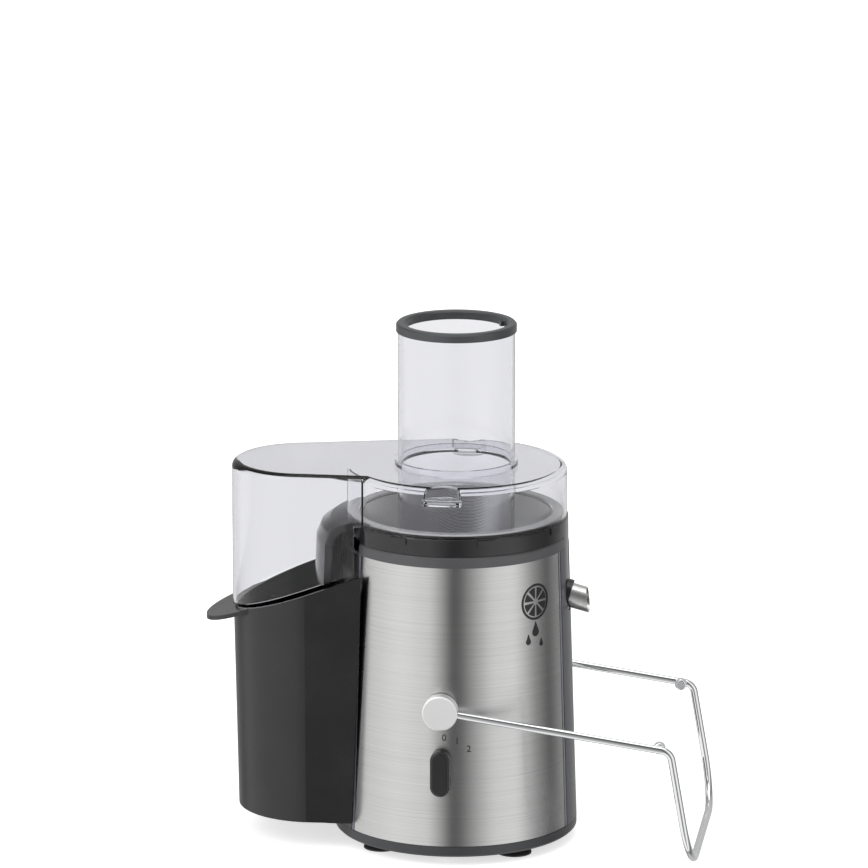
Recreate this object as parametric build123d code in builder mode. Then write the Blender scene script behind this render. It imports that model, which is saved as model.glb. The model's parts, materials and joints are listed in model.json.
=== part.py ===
"""Centrifugal juicer: motor base, juice bowl, filter basket, clear lid, pulp container and locking bail.

Millimetres, +Z up. The origin is where the spin axis meets the table; the control side faces -Y,
the juice spout faces +X and the pulp container stands on the -X side.
"""

import os
from math import asin, cos, degrees, radians, sin, tan

from build123d import *

os.makedirs("parts", exist_ok=True)

# ---------------------------------------------------------------- driving dimensions
GAP = 0.3                 # between pieces that move apart
FIT = 0.05                # running fit of a shaft in its bore

# Base housing, a slightly tapered drum
BOTTOM_R = 83.0           # at the foot of the steel panels
TOP_R = 76.5              # at the rim
COVER_Z = 6.0             # underside of the bottom cover
PANEL_Z = 13.5            # foot of the steel panels
BAND_Z = 207.5            # top of the steel panels
RIM_Z = 215.0             # top of the front rim band
COLLAR_Z = 227.0          # top of the raised collar behind the lid
TAPER = (BOTTOM_R - TOP_R) / (RIM_Z - PANEL_Z)
PANEL_T = 0.8             # steel sheet
HOUSING_T = 2.2           # plastic wall
WELL_R = 73.5             # mouth of the well that takes the bowl
COLLAR_R = 74.9           # inside of the raised collar
DECK_Z = 159.0            # top of the deck that closes the well
DECK_T = 3.0
PANEL_END = 142.0         # a panel ends this many degrees from the spout side
PANEL_START = 16.0        # and starts this many degrees from it
TRIM_ANGLE = 2.2          # width of a trim strip, degrees
COLUMN_PROUD = 0.6        # the side columns stand this far outside the panels
NOTCH_R = 12.5            # half width of the spout notch
NOTCH_Z = 173.5           # centre of the notch's round bottom

# Feet and shelf
FOOT_R = 12.0
FOOT_PITCH = 92.0
SCREW_R = 70.0            # cover screws, from the spin axis
MOUNT_R = 50.9            # motor screws, from the spin axis
SHELF_X = 121.0
SHELF_HALF = 40.0
SHELF_T = 8.5
STUD_X = 91.0
STUD_R = 2.5
STUD_H = 2.2

# Bail and knob
PIVOT_Z = 109.0
ARM_Y = 85.0              # centre of each bail arm
ROD_R = 2.6
ARM_LEN = 158.0           # pivot to bend
ARM_DROP = 8.0            # degrees below level when the bail is open
LEG_LEN = 84.0
LEG_TURN = 72.0           # degrees between arm and leg
BEAD_AT = 150.0           # pivot to bead
BEAD_R = 4.0
DISC_R = 12.0
DISC_IN = 80.9            # the discs' inner and outer faces, from the middle
DISC_OUT = 89.5
PIN_R = 4.0
KNOB_Z = 66.0
KNOB_W = 13.5
KNOB_L = 32.0
KNOB_IN = 82.3

# Bowl
PLATE_Z = RIM_Z + GAP
PLATE_T = 1.7
PLATE_R = COLLAR_R - 0.5  # outer edge of the bowl's rim plate
BOWL_FLOOR_Z = 166.0
BOWL_T = 2.2
WALL_LOW_R = 61.0         # outside of the bowl's wall above its rounded bottom
WALL_HIGH_R = 67.5        # and at its rim
CORNER_R = 12.0
BAND_R = COLLAR_R         # inside of the bowl's upstand
LIP_R = 56.5              # opening inside the sloping lip
LIP_TOP_R = 66.0          # where the lip starts to slope
BOWL_HOLE_R = 20.5        # the drive coupling stands in this hole
BOWL_HUB_Z = 181.0        # top of the sleeve round the hole
SLEEVE_R = BOWL_HOLE_R + 2.2
AWNING_R = 97.0
AWNING_Z = 184.5
AWNING_HALF = 28.5        # degrees each side of the pulp direction
AWNING_T = 2.4
RIB_ANGLE = 6.0           # degrees that each thicker end of the awning takes
SPOUT_TILT = 15.0
SPOUT_R = 8.5
SPOUT_TIP_X = 94.0
SPOUT_ROOT_X = 66.0
SPOUT_Z = 172.0           # centre of the spout where it leaves the housing
SPOUT_COLLAR = 13.5       # length of the collar that holds the tube

# Drive coupling
COUPLING_Z = DECK_Z + 5.6
COUPLING_TOP = 184.0
COUPLING_AF = 9.0         # half of the hexagon across its flats
COUPLING_FOOT_R = 10.8
COUPLING_FOOT_T = 3.0
SHAFT_START_Z = 44.0
SHAFT_END_Z = 180.0

# Basket
FLANGE_R = 72.6
FLANGE_Z = 229.0
CONE_TOP_R = 66.0
CONE_BOTTOM_R = 46.6
CONE_Z = 192.0
RING_R = 47.0
RING_Z = 175.0
HUB_R = 31.85
HUB_Z = 170.3
MESH_T = 0.6
TEETH_PER_ROW = 16
SOCKET_Z = 174.0
SOCKET_R = 15.5

# Lid
SKIRT_Z = PLATE_Z + PLATE_T + GAP
STEP_Z = COLLAR_Z + GAP
LID_Z = 262.3
LID_R = 76.0
LID_T = 1.8
SKIRT_R = COLLAR_R - 0.4
SKIRT_T = 1.4
TUBE_R = 40.0
TUBE_T = 2.2
TUBE_Z = 198.3
TUBE_TOP = 355.2
RING_TOP = 361.0
CHUTE_X = 105.0           # centre of the pulp chute's round end
CHUTE_R = 50.0
CHUTE_START = 64.0        # the chute's walls reach below the lid from here outward
RIM_SLOPE = tan(radians(20))
CHUTE_Z = 194.0           # lower edge of the chute's walls at CHUTE_START

LUG_Z = PIVOT_Z + BEAD_AT - BEAD_R - 0.4    # face that the bail's beads press on
LUG_Y = 78.0
LUG_R = 13.5
LUG_OUT = 82.0
LUG_T = 3.0

# Pulp container
CUP_R = 84.2              # hollow side that faces the base
CUP_T = 2.2
CUP_X = 97.0              # centre of the round outer wall
CUP_HORN_Y = 53.0         # half spread of the horns at the bottom
CUP_ROUND = 54.6          # its radius at the bottom
CUP_TAPER = 1.1           # degrees of draft
CUP_Z = 18.0
CUP_FLOOR_Z = 24.8
CUP_TOP = CHUTE_Z - 2.5   # rim at the horns
CUP_BACK_Z = 181.0        # top of the wall under the awning


def shell_r(z):
    """Outer radius of the tapered drum at a height."""
    return BOTTOM_R - (z - PANEL_Z) * TAPER


def radial_plane(angle):
    """Upright plane through the spin axis, its local X pointing outward at the angle."""
    c = cos(radians(angle))
    s = sin(radians(angle))
    return Plane(origin=(0, 0, 0), x_dir=(c, s, 0), z_dir=(s, -c, 0))


def turned(points, start=0.0, sweep=360.0):
    """Solid turned about the spin axis from a closed (radius, height) outline."""
    with BuildPart() as piece:
        with BuildSketch(radial_plane(start)):
            with BuildLine():
                Polyline(*points, close=True)
            make_face()
        revolve(axis=Axis.Z, revolution_arc=sweep)
    return piece.part


def tapered_wall(z0, z1, inset, outset, start=0.0, sweep=360.0):
    """Wall that follows the drum's taper, from inset inside its surface to outset outside it."""
    outline = [
        (shell_r(z0) - inset, z0),
        (shell_r(z0) + outset, z0),
        (shell_r(z1) + outset, z1),
        (shell_r(z1) - inset, z1),
    ]
    return turned(outline, start, sweep)


def save(piece, name):
    """Labels a finished piece and writes its STEP file."""
    piece.label = name
    export_step(piece, f"parts/{name}.step")


# ---------------------------------------------------------------- base: casing
panel_sweep = PANEL_END - PANEL_START - 2 * TRIM_ANGLE
knob_bore = 5.0
bush_r = 6.5

with BuildPart() as front_panel:
    add(tapered_wall(PANEL_Z, BAND_Z, PANEL_T, 0.0, -PANEL_END + TRIM_ANGLE, panel_sweep))
    with BuildSketch(Plane.XZ):
        with Locations((0, KNOB_Z)):
            Circle(knob_bore)
        with Locations((0, PIVOT_Z)):
            Circle(bush_r + 0.1)
    extrude(amount=120, mode=Mode.SUBTRACT)
save(front_panel.part, "front_panel")

with BuildPart() as rear_panel:
    add(tapered_wall(PANEL_Z, BAND_Z, PANEL_T, 0.0, PANEL_START + TRIM_ANGLE, panel_sweep))
    with BuildSketch(Plane.XZ):
        with Locations((0, PIVOT_Z)):
            Circle(bush_r + 0.1)
        with Locations((0, 36)):
            Circle(7.1)
    extrude(amount=-120, mode=Mode.SUBTRACT)
save(rear_panel.part, "rear_panel")

with BuildPart() as trim_strips:
    for edge in (-PANEL_END, -PANEL_START - TRIM_ANGLE, PANEL_START, PANEL_END - TRIM_ANGLE):
        add(tapered_wall(PANEL_Z, BAND_Z, PANEL_T, 0.3, edge + 0.25, TRIM_ANGLE - 0.5))
save(trim_strips.part, "trim_strips")

shelf_plane = Plane.XY.offset(PANEL_Z)
with BuildPart() as left_column:
    add(tapered_wall(PANEL_Z, BAND_Z, 0.9, COLUMN_PROUD, PANEL_END, 360 - 2 * PANEL_END))
    with BuildSketch(shelf_plane):
        with Locations((-80, 0)):
            Ellipse(SHELF_X - 80, SHELF_HALF)
        with Locations((-58, 0)):
            Rectangle(50, 2 * SHELF_HALF)
        Circle(BOTTOM_R - 0.9, mode=Mode.SUBTRACT)
    extrude(amount=SHELF_T)
    with BuildSketch(Plane.XY.offset(PANEL_Z + SHELF_T)):
        with Locations((-STUD_X, 0)):
            Circle(STUD_R)
    extrude(amount=STUD_H)
save(left_column.part, "left_column")

column_sweep = 2 * PANEL_START
notch_reach = 40.0
with BuildPart() as notch_cutter:
    with BuildSketch(Plane.YZ.offset(BOTTOM_R - notch_reach / 2 - 5)):
        with Locations((0, NOTCH_Z)):
            Circle(NOTCH_R)
        with Locations((0, NOTCH_Z + 40)):
            Rectangle(2 * NOTCH_R, 80)
    extrude(amount=notch_reach)

with BuildPart() as right_column:
    add(tapered_wall(PANEL_Z, BAND_Z, 0.9, COLUMN_PROUD, -PANEL_START, column_sweep))
    add(notch_cutter.part, mode=Mode.SUBTRACT)
save(right_column.part, "right_column")

with BuildPart() as inner_housing:
    add(tapered_wall(PANEL_Z, BAND_Z - 0.1, 1.0 + HOUSING_T, -1.0))
    deck_r = shell_r(DECK_Z) - 1.0 - HOUSING_T / 2
    add(turned([(13.0, DECK_Z - DECK_T), (deck_r, DECK_Z - DECK_T), (deck_r, DECK_Z), (13.0, DECK_Z)]))
    add(turned([(13.0, DECK_Z), (15.5, DECK_Z), (15.5, DECK_Z + 5), (13.0, DECK_Z + 5)]))
    with BuildSketch(Plane.XY.offset(DECK_Z - DECK_T)):
        with PolarLocations(MOUNT_R, 4, start_angle=45):
            Circle(7.0)
    extrude(amount=-4.0)
    with BuildSketch(Plane.XY.offset(DECK_Z - DECK_T - 4.0)):
        with PolarLocations(MOUNT_R, 4, start_angle=45):
            Circle(1.9)
    extrude(amount=6.0, mode=Mode.SUBTRACT)
    with BuildSketch(Plane.XY.offset(COVER_Z + 2.8)):
        with PolarLocations(SCREW_R, 4):
            Circle(5.0)
        with PolarLocations(SCREW_R + 6.0, 4):
            Rectangle(9.0, 3.0)
    extrude(amount=20.0)
    with BuildSketch(Plane.XY.offset(COVER_Z + 2.8)):
        with PolarLocations(SCREW_R, 4):
            Circle(1.8)
    extrude(amount=14.0, mode=Mode.SUBTRACT)
    add(notch_cutter.part, mode=Mode.SUBTRACT)
    with BuildSketch(Plane.XZ):
        with Locations((0, PIVOT_Z)):
            Circle(bush_r)
    extrude(amount=120, both=True, mode=Mode.SUBTRACT)
    with BuildSketch(Plane.XZ):
        with Locations((0, KNOB_Z)):
            Circle(knob_bore)
    extrude(amount=120, mode=Mode.SUBTRACT)
    with BuildSketch(Plane.XZ):
        with Locations((0, 36)):
            Circle(7.0)
    extrude(amount=-120, mode=Mode.SUBTRACT)
save(inner_housing.part, "inner_housing")

# The front band caps the steel panel; it ends at the spout notch
notch_angle = degrees(asin(NOTCH_R / TOP_R))
band_start = -PANEL_END
with BuildPart() as rim_band:
    add(turned(
        [(WELL_R, BAND_Z), (shell_r(BAND_Z) + 0.4, BAND_Z), (TOP_R + 0.4, RIM_Z - 1.2),
         (TOP_R - 0.6, RIM_Z), (WELL_R, RIM_Z)],
        band_start, PANEL_END - notch_angle,
    ))
save(rim_band.part, "rim_band")

collar_end = 135.0
rib_count = 5
with BuildPart() as rear_collar:
    add(turned(
        [(WELL_R, BAND_Z), (shell_r(BAND_Z) + 0.4, BAND_Z), (TOP_R + 0.4, COLLAR_Z - 1.0),
         (TOP_R - 0.4, COLLAR_Z), (COLLAR_R, COLLAR_Z), (COLLAR_R, RIM_Z), (WELL_R, RIM_Z)],
        notch_angle, collar_end - notch_angle,
    ))
    add(turned(
        [(WELL_R, BAND_Z), (shell_r(BAND_Z) + 0.4, BAND_Z), (TOP_R - 0.6, RIM_Z - 3), (WELL_R, RIM_Z - 3)],
        collar_end, PANEL_END - collar_end,
    ))
    for rib in range(rib_count):
        rib_angle = 72.0 + 9.0 * rib
        add(turned(
            [(WELL_R - 1.2, BAND_Z - 6), (WELL_R, BAND_Z - 6), (WELL_R, RIM_Z - 1),
             (WELL_R - 1.2, RIM_Z - 1)],
            rib_angle, 1.4,
        ))
save(rear_collar.part, "rear_collar")

# ---------------------------------------------------------------- base: bottom, feet and inlet
cover_t = 2.6
cover_r = BOTTOM_R + COLUMN_PROUD
with BuildPart() as bottom_cover:
    add(turned([(0, COVER_Z), (cover_r - 1.5, COVER_Z), (cover_r, COVER_Z + 1.5), (cover_r, PANEL_Z - 0.2),
                (cover_r - 3.0, PANEL_Z - 0.2), (cover_r - 3.0, COVER_Z + cover_t), (0, COVER_Z + cover_t)]))
    with BuildSketch(Plane.XY.offset(COVER_Z)):
        for row in range(5):
            with Locations((0, 12.0 * (row - 2))):
                SlotOverall(44.0, 4.0)
        with GridLocations(FOOT_PITCH, FOOT_PITCH, 2, 2):
            Circle(4.0)
        with PolarLocations(SCREW_R, 4):
            Circle(1.9)
    extrude(amount=cover_t, mode=Mode.SUBTRACT)
save(bottom_cover.part, "bottom_cover")

with BuildPart() as suction_feet:
    for x in (-FOOT_PITCH / 2, FOOT_PITCH / 2):
        for y in (-FOOT_PITCH / 2, FOOT_PITCH / 2):
            with BuildSketch(Plane(origin=(x, y, 0), x_dir=(1, 0, 0), z_dir=(0, -1, 0))):
                with BuildLine():
                    Polyline((0, 0.9), (9.0, 0.0), (FOOT_R, 0.0), (FOOT_R, 1.0), (6.5, 5.9), (4.0, 5.9),
                             (4.0, 8.6), (5.4, 8.6), (4.2, 10.6), (0, 10.6), close=True)
                make_face()
            revolve(axis=Axis((x, y, 0), (0, 0, 1)))
save(suction_feet.part, "suction_feet")

with BuildPart() as cover_screws:
    with BuildSketch(Plane.XY.offset(COVER_Z - 1.4)):
        with PolarLocations(SCREW_R, 4):
            Circle(3.3)
    extrude(amount=1.4)
    with BuildSketch(Plane.XY.offset(COVER_Z)):
        with PolarLocations(SCREW_R, 4):
            Circle(1.8)
    extrude(amount=9.0)
    with BuildSketch(Plane.XY.offset(COVER_Z - 1.4)):
        with PolarLocations(SCREW_R, 4):
            Rectangle(3.8, 0.9)
            Rectangle(0.9, 3.8)
    extrude(amount=0.8, mode=Mode.SUBTRACT)
save(cover_screws.part, "cover_screws")

inlet_r = 7.0
inlet_z = 36.0
wall_y = shell_r(inlet_z)
with BuildPart() as cord_grommet:
    with BuildSketch(Plane(origin=(0, 0, inlet_z), x_dir=(1, 0, 0), z_dir=(0, 1, 0)).offset(wall_y - 6)):
        Circle(inlet_r - 0.1)
        Circle(3.6, mode=Mode.SUBTRACT)
    extrude(amount=7.0)
    with BuildSketch(Plane(origin=(0, 0, inlet_z), x_dir=(1, 0, 0), z_dir=(0, 1, 0)).offset(wall_y + 0.3)):
        Circle(9.0)
        Circle(3.6, mode=Mode.SUBTRACT)
    extrude(amount=2.6)
save(cord_grommet.part, "cord_grommet")

with BuildPart() as pivot_bushes:
    with BuildSketch(Plane.XZ.offset(71.0)):
        with Locations((0, PIVOT_Z)):
            Circle(bush_r)
            Circle(PIN_R + FIT, mode=Mode.SUBTRACT)
    extrude(amount=9.2)
    mirror(about=Plane.XZ)
save(pivot_bushes.part, "pivot_bushes")

# ---------------------------------------------------------------- base: motor frame
SHAFT_R = 4.0
STACK_Z = 78.0            # laminated core, bottom and top
STACK_TOP = 118.0
CORE_R = 24.0
LOW_BRACKET_Z = 49.0
HIGH_BRACKET_Z = 139.0
BRACKET_T = 2.5
BEARING_R = 11.0
BEARING_H = 7.0
WIRE_H = 9.0              # winding overhang beyond the core

with BuildPart() as stator_core:
    with BuildSketch(Plane.XY.offset(STACK_Z)):
        RectangleRounded(90.0, 90.0, 14.0)
        Circle(CORE_R + 1.0, mode=Mode.SUBTRACT)
        for side in (-1, 1):
            with Locations((side * 27.5, 24.0), (side * 27.5, -24.0)):
                Rectangle(9.0, 16.0, mode=Mode.SUBTRACT)
        with PolarLocations(MOUNT_R, 4, start_angle=45):
            Circle(2.1, mode=Mode.SUBTRACT)
    extrude(amount=STACK_TOP - STACK_Z)
save(stator_core.part, "stator_core")

with BuildPart() as field_windings:
    for side in (-1, 1):
        with BuildSketch(Plane.XY.offset(STACK_Z - WIRE_H)):
            with Locations((side * 27.5, 24.0), (side * 27.5, -24.0)):
                Rectangle(8.6, 15.6)
        extrude(amount=STACK_TOP - STACK_Z + 2 * WIRE_H)
        for z in (STACK_Z - WIRE_H, STACK_TOP + 0.2):
            with BuildSketch(Plane.XY.offset(z)):
                with Locations((side * 29.0, 0)):
                    Rectangle(5.6, 62.0)
            extrude(amount=WIRE_H - 0.2)
save(field_windings.part, "field_windings")


def motor_bracket(z):
    """Pressed plate across the motor with a hole for its bearing."""
    with BuildPart() as bracket:
        with BuildSketch(Plane.XY.offset(z)):
            Rectangle(30.0, 110.0, rotation=45)
            Rectangle(30.0, 110.0, rotation=-45)
            Circle(30.0)
            Circle(BEARING_R, mode=Mode.SUBTRACT)
            with PolarLocations(MOUNT_R, 4, start_angle=45):
                Circle(2.1, mode=Mode.SUBTRACT)
        extrude(amount=BRACKET_T)
    return bracket.part


def motor_bearing(z):
    """Ring bearing seated in a bracket."""
    with BuildPart() as bearing:
        with BuildSketch(Plane.XY.offset(z)):
            Circle(BEARING_R)
            Circle(SHAFT_R + FIT, mode=Mode.SUBTRACT)
        extrude(amount=BEARING_H)
        chamfer(bearing.edges().filter_by(GeomType.CIRCLE).sort_by(SortBy.RADIUS)[-2:], length=0.6)
    return bearing.part


lower_bracket = motor_bracket(LOW_BRACKET_Z)
save(lower_bracket, "lower_bracket")
upper_bracket = motor_bracket(HIGH_BRACKET_Z)
save(upper_bracket, "upper_bracket")
lower_bearing = motor_bearing(LOW_BRACKET_Z - 2.0)
save(lower_bearing, "lower_bearing")
upper_bearing = motor_bearing(HIGH_BRACKET_Z - 2.0)
save(upper_bearing, "upper_bearing")

mount_top = DECK_Z - DECK_T - 4.0
with BuildPart() as motor_mounts:
    with BuildSketch(Plane.XY.offset(HIGH_BRACKET_Z + BRACKET_T)):
        with PolarLocations(MOUNT_R, 4, start_angle=45):
            Circle(6.5)
            Circle(2.1, mode=Mode.SUBTRACT)
    extrude(amount=mount_top - HIGH_BRACKET_Z - BRACKET_T)
save(motor_mounts.part, "motor_mounts")

with BuildPart() as motor_screws:
    with BuildSketch(Plane.XY.offset(LOW_BRACKET_Z - 3.0)):
        with PolarLocations(MOUNT_R, 4, start_angle=45):
            RegularPolygon(4.0, 6)
    extrude(amount=3.0)
    with BuildSketch(Plane.XY.offset(LOW_BRACKET_Z)):
        with PolarLocations(MOUNT_R, 4, start_angle=45):
            Circle(1.85)
    extrude(amount=DECK_Z - DECK_T - LOW_BRACKET_Z - 1.0)
save(motor_screws.part, "motor_screws")

with BuildPart() as frame_spacers:
    with BuildSketch(Plane.XY.offset(LOW_BRACKET_Z + BRACKET_T)):
        with PolarLocations(MOUNT_R, 4, start_angle=45):
            Circle(4.5)
            Circle(2.1, mode=Mode.SUBTRACT)
    extrude(amount=STACK_Z - LOW_BRACKET_Z - BRACKET_T)
    with BuildSketch(Plane.XY.offset(STACK_TOP)):
        with PolarLocations(MOUNT_R, 4, start_angle=45):
            Circle(4.5)
            Circle(2.1, mode=Mode.SUBTRACT)
    extrude(amount=HIGH_BRACKET_Z - STACK_TOP)
save(frame_spacers.part, "frame_spacers")

BRUSH_Z = 62.0
COMMUTATOR_R = 12.0
with BuildPart() as brush_holders:
    for side in (-1, 1):
        with BuildSketch(Plane.YZ.offset(side * 14.0)):
            with Locations((0, BRUSH_Z)):
                Rectangle(10.0, 12.0)
                Rectangle(6.6, 8.6, mode=Mode.SUBTRACT)
        extrude(amount=side * 20.0)
        with BuildSketch(Plane.YZ.offset(side * 20.0)):
            with Locations((0, (BRUSH_Z - 6.0 + LOW_BRACKET_Z + BRACKET_T) / 2)):
                Rectangle(10.0, BRUSH_Z - 6.0 - LOW_BRACKET_Z - BRACKET_T)
        extrude(amount=side * 6.0)
save(brush_holders.part, "brush_holders")

with BuildPart() as carbon_brushes:
    for side in (-1, 1):
        with BuildSketch(Plane.YZ.offset(side * (COMMUTATOR_R + GAP))):
            with Locations((0, BRUSH_Z)):
                Rectangle(6.4, 8.4)
        extrude(amount=side * 16.0)
save(carbon_brushes.part, "carbon_brushes")

with BuildPart() as shaft_seal:
    add(turned([(SHAFT_R + FIT, DECK_Z - 1.5), (12.95, DECK_Z - 1.5), (12.95, DECK_Z + 3.0),
                (SHAFT_R + 1.6, DECK_Z + 3.0), (SHAFT_R + FIT, DECK_Z + 1.0)]))
save(shaft_seal.part, "shaft_seal")

# Rotary switch behind the knob and the safety switch that the bail's cam presses
with BuildPart() as speed_switch:
    with BuildSketch(Plane.XZ.offset(58.0)):
        with Locations((0, KNOB_Z)):
            Rectangle(26.0, 26.0)
            Circle(3.0 + FIT, mode=Mode.SUBTRACT)
    extrude(amount=14.0)
    with BuildSketch(Plane.XZ.offset(72.0)):
        with Locations((0, KNOB_Z)):
            Circle(8.0)
            Circle(3.0 + FIT, mode=Mode.SUBTRACT)
    extrude(amount=5.0)
save(speed_switch.part, "speed_switch")

with BuildPart() as interlock_switch:
    with BuildSketch(Plane.XZ.offset(60.0)):
        with Locations((-22.0, PIVOT_Z)):
            Rectangle(12.0, 20.0)
    extrude(amount=7.0)
    with BuildSketch(Plane.XZ.offset(62.0)):
        with Locations((-14.5, PIVOT_Z)):
            Rectangle(3.6, 3.0)
    extrude(amount=3.0)
save(interlock_switch.part, "interlock_switch")

# ---------------------------------------------------------------- drive: armature and coupling
with BuildPart() as motor_shaft:
    with BuildSketch(Plane.XY.offset(SHAFT_START_Z)):
        Circle(SHAFT_R)
    extrude(amount=SHAFT_END_Z - SHAFT_START_Z)
    chamfer(motor_shaft.edges().group_by(Axis.Z)[0], length=0.6)
save(motor_shaft.part, "motor_shaft")

slot_count = 12
with BuildPart() as armature_core:
    with BuildSketch(Plane.XY.offset(STACK_Z)):
        Circle(CORE_R)
        Circle(SHAFT_R, mode=Mode.SUBTRACT)
        with PolarLocations(18.6, slot_count):
            SlotOverall(9.0, 4.4, mode=Mode.SUBTRACT)
        with PolarLocations(CORE_R, slot_count):
            Rectangle(5.0, 1.6, mode=Mode.SUBTRACT)
    extrude(amount=STACK_TOP - STACK_Z)
save(armature_core.part, "armature_core")

with BuildPart() as armature_windings:
    for z in (STACK_Z - WIRE_H + 0.5, STACK_TOP):
        add(turned([(SHAFT_R + 2, z), (20.5, z), (22.5, z + 2.5), (22.5, z + 6.0), (20.5, z + 8.5),
                    (SHAFT_R + 2, z + 8.5)]))
save(armature_windings.part, "armature_windings")

with BuildPart() as commutator:
    with BuildSketch(Plane.XY.offset(BRUSH_Z - 6.0)):
        Circle(COMMUTATOR_R)
        Circle(SHAFT_R, mode=Mode.SUBTRACT)
    extrude(amount=12.0)
    with BuildSketch(Plane.XY.offset(BRUSH_Z + 3.0)):
        with PolarLocations(COMMUTATOR_R, 2 * slot_count):
            Rectangle(1.6, 0.5)
    extrude(amount=3.0, mode=Mode.SUBTRACT)
save(commutator.part, "commutator")

FAN_R = 34.0
FAN_Z = 129.0
with BuildPart() as cooling_fan:
    with BuildSketch(Plane.XY.offset(FAN_Z)):
        Circle(FAN_R)
        Circle(SHAFT_R, mode=Mode.SUBTRACT)
    extrude(amount=1.6)
    with BuildSketch(Plane.XY.offset(FAN_Z + 1.6)):
        Circle(8.0)
        Circle(SHAFT_R, mode=Mode.SUBTRACT)
        with PolarLocations(21.0, 9):
            Rectangle(24.0, 1.4, rotation=18)
    extrude(amount=5.6)
save(cooling_fan.part, "cooling_fan")

with BuildPart() as drive_coupling:
    with BuildSketch(Plane.XY.offset(COUPLING_Z)):
        Circle(COUPLING_FOOT_R)
    extrude(amount=COUPLING_FOOT_T)
    with BuildSketch(Plane.XY.offset(COUPLING_Z + COUPLING_FOOT_T)):
        RegularPolygon(COUPLING_AF, 6, major_radius=False)
    extrude(amount=COUPLING_TOP - COUPLING_Z - COUPLING_FOOT_T)
    chamfer(drive_coupling.edges().group_by(Axis.Z)[-1], length=1.2)
    with BuildSketch(Plane.XY.offset(COUPLING_Z)):
        Circle(SHAFT_R)
    extrude(amount=SHAFT_END_Z - COUPLING_Z, mode=Mode.SUBTRACT)
save(drive_coupling.part, "drive_coupling")

# ---------------------------------------------------------------- drive: filter basket
with BuildPart() as basket_rim:
    add(turned([(CONE_TOP_R - 0.2, FLANGE_Z - 1.2), (CONE_TOP_R + 1.2, FLANGE_Z - 1.2), (CONE_TOP_R + 1.4, FLANGE_Z),
                (FLANGE_R, FLANGE_Z), (FLANGE_R, FLANGE_Z + 1.0), (CONE_TOP_R + 0.6, FLANGE_Z + 1.0),
                (CONE_TOP_R - 0.2, FLANGE_Z)]))
save(basket_rim.part, "basket_rim")

cone_top = FLANGE_Z - 1.2
with BuildPart() as mesh_cone:
    add(turned([(CONE_BOTTOM_R - MESH_T, CONE_Z), (CONE_BOTTOM_R, CONE_Z), (CONE_TOP_R, cone_top),
                (CONE_TOP_R - MESH_T, cone_top)]))
    add(turned([(CONE_BOTTOM_R - 0.1, CONE_Z), (CONE_BOTTOM_R + 0.4, CONE_Z), (CONE_TOP_R + 0.4, cone_top),
                (CONE_TOP_R - 0.1, cone_top)], -78.0, 3.4))
save(mesh_cone.part, "mesh_cone")

with BuildPart() as grater_disc:
    with BuildSketch(Plane.XY.offset(CONE_Z)):
        Circle(CONE_BOTTOM_R - MESH_T)
    extrude(amount=1.0)
    with BuildSketch(Plane.XY.offset(CONE_Z + 1.0)):
        for ring_r in (14.0, 19.0, 24.0, 29.0, 34.0, 39.0):
            with PolarLocations(ring_r, TEETH_PER_ROW, start_angle=ring_r):
                Rectangle(2.6, 0.8)
    extrude(amount=1.5)
save(grater_disc.part, "grater_disc")

with BuildPart() as basket_ring:
    add(turned([(HUB_R - 6.0, RING_Z), (RING_R - 3.0, RING_Z), (RING_R, RING_Z + 3.0), (RING_R, CONE_Z - 1.2),
                (RING_R - 0.8, CONE_Z), (15.6, CONE_Z), (15.6, CONE_Z - 3.0), (RING_R - 4.0, CONE_Z - 3.0),
                (RING_R - 4.0, RING_Z + 3.0), (HUB_R - 6.0, RING_Z + 3.0)]))
save(basket_ring.part, "basket_ring")

with BuildPart() as basket_hub:
    add(turned([(24.5, HUB_Z), (HUB_R - 1.0, HUB_Z), (HUB_R, HUB_Z + 1.0), (HUB_R, RING_Z), (24.5, RING_Z)]))
save(basket_hub.part, "basket_hub")

with BuildPart() as drive_socket:
    with BuildSketch(Plane.XY.offset(SOCKET_Z)):
        Circle(SOCKET_R)
        RegularPolygon(COUPLING_AF + 0.4, 6, major_radius=False, mode=Mode.SUBTRACT)
    extrude(amount=COUPLING_TOP + 1.0 - SOCKET_Z)
    with BuildSketch(Plane.XY.offset(COUPLING_TOP + 1.0)):
        Circle(SOCKET_R)
    extrude(amount=CONE_Z - COUPLING_TOP - 1.0)
save(drive_socket.part, "drive_socket")

with BuildPart() as basket_rivets:
    with BuildSketch(Plane.XY.offset(CONE_Z + 1.0)):
        with PolarLocations(43.0, 6, start_angle=11):
            Circle(1.8)
    extrude(amount=0.8)
save(basket_rivets.part, "basket_rivets")

# ---------------------------------------------------------------- juice bowl
bend_z = BOWL_FLOOR_Z + CORNER_R
band_sweep = PANEL_END + notch_angle - 0.6
spout_dir = (cos(radians(SPOUT_TILT)), 0, -sin(radians(SPOUT_TILT)))
spout_exit_x = shell_r(SPOUT_Z)
spout_root_z = SPOUT_Z + (spout_exit_x - SPOUT_ROOT_X) * tan(radians(SPOUT_TILT))
spout_plane = Plane(origin=(SPOUT_ROOT_X, 0, spout_root_z), x_dir=(0, 1, 0), z_dir=spout_dir)
spout_len = (SPOUT_TIP_X - SPOUT_ROOT_X) / cos(radians(SPOUT_TILT))



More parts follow.
